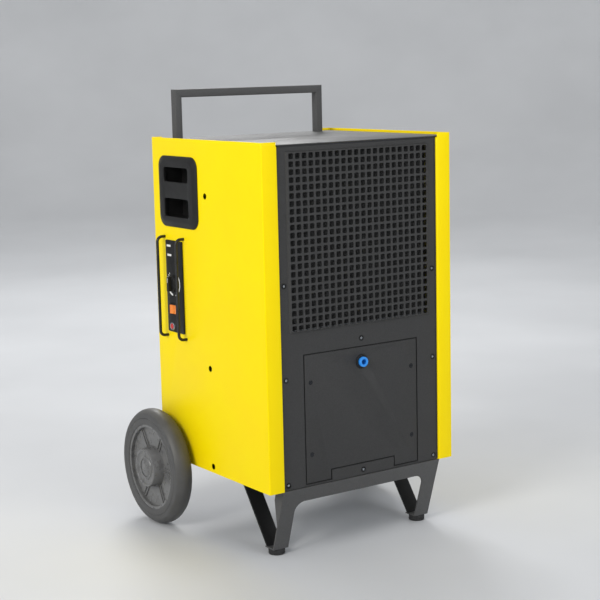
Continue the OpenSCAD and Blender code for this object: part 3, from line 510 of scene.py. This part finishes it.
sideRight = mirroredCopy(side, "sidePanelRight")
cutAway(side, addBox("rockerHole", (-265, rocker["y"] - 14.5, rocker["z"] - 12.5),
                     (-250, rocker["y"] + 14.5, rocker["z"] + 12.5)))
cutAway(side, addDrum("dialHole", (-260, dial["y"], dial["z"]), 6, 20, "X", 32))
cutAway(side, addDrum("lampHole", (-260, lamp["y"], lamp["z"]), 7, 20, "X", 32))
finish(side, yellowCoat, "chassis", ["side_panel_left"])
finish(sideRight, yellowCoat, "chassis", ["side_panel_right"])

print("front panel")
grille = {"columns": 22, "rows": 23, "pitchX": 17.5, "pitchZ": 17.1, "hole": 12.5, "corner": 2.4,
          "midZ": 709.9, "face": -236.5, "halfWidth": 196.25, "halfHeight": 198.1}
front = {"face": -232.5, "halfWidth": 217, "low": 161, "top": 920, "thickness": 2}
cover = {"halfWidth": 157.5, "low": 167.5, "top": 458.5, "gap": 3, "tabHalf": 91, "tabTop": 190.5}

# One cell: the rounded hole first, then its rim pulled out to the cell's own outline
firstX = -(grille["columns"] - 1) / 2 * grille["pitchX"]
firstZ = grille["midZ"] - (grille["rows"] - 1) / 2 * grille["pitchZ"]
middle = (firstX, grille["face"], firstZ)
half = grille["hole"] / 2
field = addBox("frontPanel", (firstX - half, grille["face"], firstZ - half),
               (firstX + half, grille["face"] + 2, firstZ + half))
roundEdges(field, lambda e: runs(e, "Y"), grille["corner"], 2)
pick(field, "FACE", lambda f: f.normal.y > -0.9)
bpy.ops.mesh.delete(type="FACE")
pick(field, "FACE", everything)
bpy.ops.mesh.delete(type="ONLY_FACE")
pick(field, "EDGE", everything)
extrudeEdges(0, 0, 0)
mesh = bmesh.from_edit_mesh(field.data)
rim = {v.index for v in mesh.verts if v.select}
reach = half * 0.98
corner = half - grille["corner"] * 0.5
growX, growZ = grille["pitchX"] / 2 / half, grille["pitchZ"] / 2 / half
for test, x, z in ((lambda p: abs(p.x) > reach, growX, 1), (lambda p: abs(p.z) > reach, 1, growZ),
                   (lambda p: abs(p.x) < reach and abs(p.z) < reach, 0, 0)):
    pick(field, "VERT", lambda v: v.index in rim and test(spot(v) - Vector(middle)))
    if x:
        resize(middle, x, 1, z)
    else:
        span = half - grille["corner"] * (1 - math.sqrt(0.5))
        resize(middle, grille["pitchX"] / 2 / span, 1, grille["pitchZ"] / 2 / span)
pick(field, "FACE", everything)
bpy.ops.mesh.normals_make_consistent(inside=False)
mesh = bmesh.from_edit_mesh(field.data)
if mesh.faces[:][0].normal.y > 0:
    bpy.ops.mesh.flip_normals()
for count, step in ((grille["columns"], (grille["pitchX"] / 1000, 0, 0)),
                    (grille["rows"], (0, 0, grille["pitchZ"] / 1000))):
    modify(field, "ARRAY", count=count, use_relative_offset=False, use_constant_offset=True,
           constant_offset_displace=step, use_merge_vertices=True, merge_threshold=0.00002)

# From the field's outline: a slope back to the panel, then the panel round it
fieldHalfX = grille["columns"] / 2 * grille["pitchX"]
fieldHalfZ = grille["rows"] / 2 * grille["pitchZ"]
fieldMiddle = (0, grille["face"], grille["midZ"])


def outline(edge):
    p = spot(edge)
    return edge.is_boundary and (abs(abs(p.x) - fieldHalfX) < 0.2 or abs(abs(p.z - grille["midZ"]) - fieldHalfZ) < 0.2)


pick(field, "EDGE", outline)
extrudeEdges(0, front["face"] - grille["face"], 0)
resize(fieldMiddle, grille["halfWidth"] / fieldHalfX, 1, grille["halfHeight"] / fieldHalfZ)
for end in (-1, 1):
    pick(field, "EDGE", lambda e: e.is_boundary and abs(spot(e).x * end - grille["halfWidth"]) < 0.1)
    extrudeEdges(end * (front["halfWidth"] - grille["halfWidth"]), 0, 0)
fieldLow, fieldTop = grille["midZ"] - grille["halfHeight"], grille["midZ"] + grille["halfHeight"]
pick(field, "EDGE", lambda e: e.is_boundary and abs(spot(e).z - fieldTop) < 0.1)
extrudeEdges(0, 0, front["top"] - fieldTop)
pick(field, "EDGE", lambda e: e.is_boundary and abs(spot(e).z - fieldLow) < 0.1)
extrudeEdges(0, 0, front["low"] - fieldLow)
roundEdges(field, lambda e: not e.is_boundary and (
    abs(spot(e).y - grille["face"]) < 0.1 and (abs(abs(spot(e).x) - fieldHalfX) < 0.1
    or abs(abs(spot(e).z - grille["midZ"]) - fieldHalfZ) < 0.1)), 1, 2)
gap = cover["gap"]
for point, normal in (((cover["halfWidth"] + gap, 0, 0), (1, 0, 0)), ((-cover["halfWidth"] - gap, 0, 0), (1, 0, 0)),
                      ((cover["tabHalf"] - gap, 0, 0), (1, 0, 0)), ((gap - cover["tabHalf"], 0, 0), (1, 0, 0)),
                      ((0, 0, cover["top"] + gap), (0, 0, 1)), ((0, 0, cover["low"] - gap), (0, 0, 1)),
                      ((0, 0, cover["tabTop"] - gap), (0, 0, 1))):
    pick(field, "FACE", lambda f: f.calc_center_median().z * 1000 < fieldLow)
    bpy.ops.mesh.bisect(plane_co=at(*point), plane_no=normal)


def inOpening(face):
    p = spot(face)
    inside = abs(p.x) < cover["halfWidth"] + gap and cover["low"] - gap < p.z < cover["top"] + gap
    return inside and not (abs(p.x) < cover["tabHalf"] - gap and p.z < cover["tabTop"] - gap)


pick(field, "FACE", inOpening)
bpy.ops.mesh.delete(type="FACE")
thicken(field, front["thickness"])
# A frame behind the gaps round the service cover, in the near-black coat: painted shade in the gaps
rebate = addBox("coverRebate", (-167.5, -230.5, 162.5), (167.5, -228.5, 468.5))
cutAway(rebate, addBox("rebateHole", (-147.5, -240, 200.5), (147.5, -220, 448.5)))
rebate.name = rebate.data.name = "coverGapShade"
finish(field, greyCoat, "chassis", ["front_panel"])
finish(rebate, paintedShadeCoat, "chassis", ["front_panel"])

# Dark strips along the panel's sides and top, in the rubber finish: painted shade for the shadow gap beside the yellow
shadowGap = {"inner": 215.6, "outer": 219.7, "front": -233.3, "back": -230.6, "low": 162, "top": 921.7}
strips = []
for a, b in ((-shadowGap["outer"], -shadowGap["inner"]), (shadowGap["inner"], shadowGap["outer"])):
    strips.append(addBox("panelShadowGap", (a, shadowGap["front"], shadowGap["low"]), (b, shadowGap["back"], shadowGap["top"])))
strips.append(addBox("panelShadowGap", (-shadowGap["outer"], shadowGap["front"], shadowGap["top"] - 3.6),
                     (shadowGap["outer"], shadowGap["back"], shadowGap["top"])))
for strip in strips:
    softenAll(strip, 0.6, 2)
finish(joined("panelShadowGap", strips), soleRubber, "chassis")

print("service cover")
lidOfPump = addBox("serviceCover", (-cover["halfWidth"], front["face"], cover["low"]),
                   (cover["halfWidth"], front["face"] + 2, cover["top"]))
cutAway(lidOfPump, addBox("coverNotch", (-cover["tabHalf"], -240, 150), (cover["tabHalf"], -220, cover["tabTop"])))
cutAway(lidOfPump, addDrum("outletHole", (0, front["face"], 425), 16.3, 20, "Y", 48))
softenAll(lidOfPump, 0.6, 2)
finish(lidOfPump, greyCoat, "chassis", ["service_cover"])

print("top cover")
bow = {"halfWidth": 213, "tubeWidth": 19, "halfDepth": 10, "y": 211, "low": 762, "top": 1040, "corner": 2.5}
lid = addBox("topCover", (-256.5, -235, 922), (256.5, 235, 924))
for end in (-1, 1):
    x = end * (bow["halfWidth"] - bow["tubeWidth"] / 2)
    cutAway(lid, addBox("bowNotch", (x - 10, bow["y"] - 10.5, 910), (x + 10, bow["y"] + 10.5, 935)))
softenAll(lid, 0.8, 2)
finish(lid, frameCoat, "chassis", ["top_cover"])

print("push bow")
tubes = []
for end in (-1, 1):
    a, b = sorted((end * bow["halfWidth"], end * (bow["halfWidth"] - bow["tubeWidth"])))
    post = addBox("bowPost", (a, bow["y"] - bow["halfDepth"], bow["low"]), (b, bow["y"] + bow["halfDepth"], bow["top"]))
    roundEdges(post, lambda e: runs(e, "Z"), bow["corner"], 4)
    cutPlane(post, (end * (bow["halfWidth"] - 0.15), 0, bow["top"] - 0.3), (-end, 0, 1), drop=True)
    tubes.append(post)
bar = addBox("bowBar", (-bow["halfWidth"], bow["y"] - bow["halfDepth"], bow["top"] - bow["tubeWidth"]),
             (bow["halfWidth"], bow["y"] + bow["halfDepth"], bow["top"]))
roundEdges(bar, lambda e: runs(e, "X"), bow["corner"], 4)
for end in (-1, 1):
    cutPlane(bar, (end * (bow["halfWidth"] - 0.3), 0, bow["top"] - 0.15), (end, 0, -1), drop=True)
handle = joined("pushBow", [bar, *tubes])
finish(handle, frameCoat, "chassis", ["handle_bow"])

print("lifting grips")
gy, gz = grip["y"], grip["z"]
plate = addBox("gripPlate", (-260 - grip["edge"], gy - grip["width"] / 2, gz - grip["height"] / 2),
               (-260, gy + grip["width"] / 2, gz + grip["height"] / 2))
roundEdges(plate, lambda e: runs(e, "X"), grip["corner"], 10)
pick(plate, "FACE", lambda f: f.normal.x < -0.9)
extrudeFaces(-grip["rise"], 0, 0)
resize((-268, gy, gz), 1, 1 - 2 * grip["slope"] / grip["width"], 1 - 2 * grip["slope"] / grip["height"])
roundEdges(plate, lambda e: abs(spot(e).x + 268) < 0.1, 2, 3)
for low, top in (grip["upper"], grip["lower"]):
    window = addBox("gripWindow", (-275, gy - grip["windowWidth"] / 2, low), (-255, gy + grip["windowWidth"] / 2, top))
    roundEdges(window, lambda e: runs(e, "X"), 7, 5)
    cutAway(plate, window)
softenAll(plate, 1.2, 3, 50)
cup = addBox("gripCup", (-260, gy - grip["cupHalf"], grip["cupLow"]), (-214, gy + grip["cupHalf"], grip["cupTop"]))
roundEdges(cup, lambda e: runs(e, "X"), 8, 4)
pick(cup, "FACE", lambda f: f.normal.x < -0.9)
bpy.ops.mesh.delete(type="FACE")
thicken(cup, 3)
fingerBar = addBox("gripBar", (-266, gy - 59, grip["bar"][0] + 1), (-246, gy + 59, grip["bar"][1] - 1))
roundEdges(fingerBar, lambda e: runs(e, "Y"), 6, 4)
gripLeft = joined("gripLeft", [plate, cup, fingerBar])
gripRight = mirroredCopy(gripLeft, "gripRight")
finish(gripLeft, blackPlastic, "chassis", ["grip_left"], 40)
finish(gripRight, blackPlastic, "chassis", ["grip_right"], 40)


# ---- controls

print("controls")
plateBox = addBox("controlPlate", (-263, 108, 471.5), (-260, 184, 690.5))
roundEdges(plateBox, lambda e: runs(e, "X"), 4, 4)
roundEdges(plateBox, lambda e: abs(spot(e).x + 263) < 0.1, 0.8, 2)
cutAway(plateBox, addBox("rockerHole", (-270, rocker["y"] - 14.5, rocker["z"] - 12.5),
                         (-255, rocker["y"] + 14.5, rocker["z"] + 12.5)))
finish(plateBox, blackPlastic, "chassis", ["control_plate"])

# Plain printed bars and the dial's scale: a long arc with ticks on one side, a thin arc on the other
marks = []
for y, z in ((168, 677), (166, 655)):
    mark = addBox("plateMark", (-263.3, y - 9, z - 2.5), (-263, y + 9, z + 2.5))
    roundEdges(mark, lambda e: runs(e, "X"), 0.8, 2)
    marks.append(mark)
plateMarks = joined("plateMarks", marks)
finish(plateMarks, whiteInk, "chassis")

scaleCentre = (-263.4, dial["y"], dial["z"])
arcs = [turned("scaleArc", scaleCentre, ((25.5, 0), (30, 0), (30, 0.4), (25.5, 0.4), (25.5, 0)), "X", 40, 110, 190),
        turned("scaleArc", scaleCentre, ((27, 0), (29.5, 0), (29.5, 0.4), (27, 0.4), (27, 0)), "X", 40, 130, 35)]
for i in range(7):
    tick = addBox("scaleTick", (-263.4, dial["y"] - 0.9, dial["z"] + 26.5), (-263, dial["y"] + 0.9, dial["z"] + 31))
    arcs.append(turnedCopy(tick, "scaleTick", scaleCentre, "X", 38 + 12 * i))
    bpy.data.objects.remove(tick)
scale = joined("dialScale", arcs)
finish(scale, whiteInk, "chassis", ["dial_scale"])

knob = turned("dialKnob", (-264.4, dial["y"], dial["z"]), (
    (0, 0), (20, 0), (20, -1), (19.2, -5), (18.4, -6), (16.5, -6.4), (16, -7), (15.6, -8), (0, -8)), "X", 72)
knobBar = addBox("knobBar", (-280.4, dial["y"] - 5, dial["z"] - 17), (-271.4, dial["y"] + 5, dial["z"] + 17))
roundEdges(knobBar, lambda e: not abs(spot(e).x + 271.4) < 0.1, 1.6, 3)
pointer = addBox("knobPointer", (-280.6, dial["y"] - 0.9, dial["z"] + 4), (-280.2, dial["y"] + 0.9, dial["z"] + 15))
knob = joined("dialKnob", [knob, knobBar])
finish(knob, blackPlastic, "dial", ["dial_knob"])
finish(pointer, whiteInk, "dial")

bezel = turned("lampBezel", (-263, lamp["y"], lamp["z"]), (
    (6.5, 0), (10, 0), (10, -1.2), (9.2, -2.6), (7.8, -3), (7, -2.4), (6.8, -0.5), (6.5, 0)), "X", 48)
finish(bezel, zincSteel, "chassis", ["pilot_lamp"])
lens = turned("lampLens", (-263, lamp["y"], lamp["z"]), (
    (0, 3), (6.6, 3), (6.6, -2.6), (5.8, -3.9), (4, -4.7), (2, -5), (0, -5)), "X", 40)
finish(lens, redLens, "chassis", ["pilot_lamp"])

print("push-fit outlet")
outlet = {"z": 425, "proud": 234.5}
ring = turned("pushFitBody", (0, -234.5, outlet["z"]), (
    (10.1, 14), (10.1, 0.8), (11, 0), (14.5, 0), (15.6, 0.5), (16, 1.6), (16, 30), (9.5, 30), (9.5, 46),
    (6.3, 46), (6.3, 14), (10.1, 14)), "Y", 64)
finish(ring, blackPlastic, "chassis", ["push_fit_body"])
collet = turned("pushFitCollet", (0, -242.3, outlet["z"]), (
    (6.3, 0.6), (7, 0), (10.6, 0), (11.5, 0.9), (11.5, 2.2), (11, 2.6), (11, 3.4), (11.5, 3.8), (11.5, 6),
    (10, 6), (10, 18), (6.3, 18), (6.3, 0.6)), "Y", 64)
finish(collet, blueAcetal, "hose_collet", ["push_fit_collet"])


# ---- fasteners

print("screws")
screw = {"slot": 1.4, "span": 6}


def makeScrew(name, radius, height, dome):  # a pan head at the origin, looking up, with a cross recess
    head = addDrum(name, (0, 0, height / 2), radius, height, "Z", 24)
    roundEdges(head, lambda e: abs(spot(e).z - height) < 0.01, dome, 4)
    for w, l in ((screw["slot"], screw["span"]), (screw["span"], screw["slot"])):
        cutAway(head, addBox("recess", (-w / 2, -l / 2, height - 1.6), (w / 2, l / 2, height + 2)))
    return head


def placeAll(name, head, spots, axis, material, replaces=()):
    made = []
    for where, turn in spots:
        twin = turnedCopy(head, name, (0, 0, 0), axis, turn) if turn else copyOf(head, name)
        pick(twin, "VERT", everything)
        bpy.ops.transform.translate(value=at(*where) - at(0, 0, 0))
        focus(twin)
        made.append(twin)
    bpy.data.objects.remove(head)
    whole = joined(name, made)
    return finish(whole, material, "chassis", replaces)


panelHeights = (172, 409, 618)
facing = [((x, -232.5, z), 90) for x in (-207, 207) for z in panelHeights] + [((0, -232.5, z), 90) for z in (173, 479)]
facing += [((x, 232.5, z), -90) for x in (-207, 207) for z in panelHeights]
# Dark rings under the panel screws, in the rubber finish: painted shade round each head
shadeRing = turned("screwShadeRings", (0, 0, 0), ((3, 0), (7.2, 0), (7.2, 0.5), (6.6, 0.9), (3, 0.9), (3, 0)), "Z", 32)
placeAll("screwShadeRings", shadeRing, facing, "X", soleRubber)
placeAll("screwsPanel", makeScrew("screwsPanel", 4.6, 3.4, 2.4), facing, "X", zincSteel, ["screws"])
onCover = [((x, -232.5, z), 90) for x in (-142, 142) for z in (232, 396)]
placeAll("screwsCover", makeScrew("screwsCover", 5.5, 3, 2.2), onCover, "X", blackSteel, ["screws"])
onSides = [((x * 260, 0, z), x * 90) for x in (-1, 1) for z in (175, 406.5, 803)]
placeAll("screwsSide", makeScrew("screwsSide", 7, 5.6, 4.6), onSides, "Y", blackSteel, ["screws"])


# ---- wheels and feet

print("wheels")
wheel = {"y": 206, "z": 140, "radius": 140, "outer": 318, "width": 45, "rim": 103, "steps": 96}
out = wheel["outer"]
hubCentre = (0, wheel["y"], wheel["z"])
tyre = turned("tyreRight", hubCentre, (
    (103, out - 1), (105, out - 0.4), (110, out), (117, out), (118.2, out - 0.9), (119.4, out), (127, out),
    (129.6, out - 0.7), (131.4, out - 2.2), (135, out - 6.5), (137.8, out - 11), (139.4, out - 16), (140, out - 22.5),
    (139.4, out - 29), (137.8, out - 34), (135, out - 38.5), (131.4, out - 42.8), (127, out - 45), (110, out - 45),
    (103, out - 44), (103, out - 1)), "X", wheel["steps"])
tyreLeft = mirroredCopy(tyre, "tyreLeft")
finish(tyre, tyreRubber, "wheel_right", ["tyre_right"])
finish(tyreLeft, tyreRubber, "wheel_left", ["tyre_left"])

hub = turned("hubRight", hubCentre, (
    (14, out - 51), (26, out - 51), (30, out - 17), (95, out - 17), (96, out - 18), (96, out - 43), (102.9, out - 43),
    (102.9, out - 2), (99, out - 2), (96.5, out - 3.5), (95.6, out - 11.5), (93, out - 13), (72, out - 13.6), (54, out - 14.5),
    (51, out - 13.5), (49, out - 8), (46.4, out + 9.5), (45.4, out + 11.4), (43.8, out + 12), (41, out + 12),
    (39.4, out + 10.6), (36, out + 9.4), (29, out + 9.4), (27.6, out + 11), (25, out + 11.6), (22.4, out + 10.8),
    (22, out + 0.6), (14, out + 0.6), (14, out - 51)), "X", wheel["steps"])
rib = addBox("hubRib", (out - 16, wheel["y"] - 6, wheel["z"] + 46), (out, wheel["y"] + 6, wheel["z"] + 96.5))
cutPlane(rib, (out - 10.2, wheel["y"], wheel["z"] + 94), Vector((44, 0, -1.5)).normalized(), drop=True)
cutAway(rib, addBox("ribGap", (out - 20, wheel["y"] - 3.4, wheel["z"] + 40), (out + 9, wheel["y"] + 3.4, wheel["z"] + 99)))
softenAll(rib, 0.7)
ribs = [turnedCopy(rib, "hubRib", hubCentre, "X", 30 + 60 * i) for i in range(6)]
bpy.data.objects.remove(rib)
hub = joined("hubRight", [hub, *ribs])
hubLeft = mirroredCopy(hub, "hubLeft")
finish(hub, hubNylon, "wheel_right", ["hub_right"])
finish(hubLeft, hubNylon, "wheel_left", ["hub_left"])
cap = turned("hubCapRight", hubCentre, (
    (0, out + 6), (21.9, out + 6), (21.9, out + 9.4), (20.5, out + 10.4), (15, out + 11), (13, out + 12),
    (0, out + 12)), "X", 64)
capLeft = mirroredCopy(cap, "hubCapLeft")
finish(cap, hubNylon, "wheel_right", ["hub_cap_right"])
finish(capLeft, hubNylon, "wheel_left", ["hub_cap_left"])

print("feet")
foot = {"x": 203, "y": -171.5}
pad = turned("footPadRight", (foot["x"], foot["y"], 0), (
    (0, 0), (16.5, 0), (18.4, 0.8), (19, 2.4), (19, 4.6), (18, 5.2), (18, 6.4), (19, 7), (19, 12.6), (17.8, 13.9),
    (0, 13.9)), "Z", 56)
padLeft = mirroredCopy(pad, "footPadLeft")
finish(pad, soleRubber, "chassis", ["foot_pad_right"])
finish(padLeft, soleRubber, "chassis", ["foot_pad_left"])


# ---- studio

print("studio")
focus()
floor = turned("studioFloor", (0, 0, -0.3), ((0, 0), (5000, 0), (6500, 120), (7600, 600), (8400, 1500), (8900, 3000),
                                             (9000, 6000)), "Z", 96)
bpy.ops.object.shade_smooth()
pick(floor, "FACE", everything)
if bmesh.from_edit_mesh(floor.data).faces[:][0].normal.z < 0:
    bpy.ops.mesh.flip_normals()
focus()
floor.data.materials.append(surface("StudioFloor", {
    "colours": ("c6c8cb", "cfd1d4"), "roughness": (0.5, 0.6), "driftSize": 900, "grainSize": 12, "grainDepth": 0.05}))

world = bpy.data.worlds.new("Studio")
bpy.context.scene.world = world
world.use_nodes = True
world.node_tree.nodes["Background"].inputs["Color"].default_value = linear("ececec")
world.node_tree.nodes["Background"].inputs["Strength"].default_value = 0.83


def addLight(name, where, aim, size, power, colour):
    focus()
    bpy.ops.object.light_add(type="AREA", location=where)
    light = bpy.context.object
    light.name = name
    light.data.size = size
    light.data.energy = power
    light.data.color = linear(colour)[:3]
    light.rotation_euler = (Vector(aim) - Vector(where)).to_track_quat("-Z", "Y").to_euler()


addLight("keyLight", (-7.2, -2.2, 4.2), (0, 0, 0.5), 3.0, 345, "fffdf8")
addLight("frontLight", (0.8, -5.6, 2.6), (0, 0, 0.5), 2.4, 90, "fafcff")
addLight("backLight", (1.5, 3.5, 3.6), (0, 0, 0.7), 2.0, 90, "ffffff")

focus()
bpy.ops.object.camera_add(location=(-1.966047, -2.915267, 1.092005),
                          rotation=[math.radians(a) for a in (80.94048, 1.29995, -34.59511)])
camera = bpy.context.object
camera.name = "camera"
camera.data.lens = 88.678
camera.data.sensor_width = 36
bpy.context.scene.camera = camera
bpy.context.scene.view_settings.view_transform = "Standard"

focus()
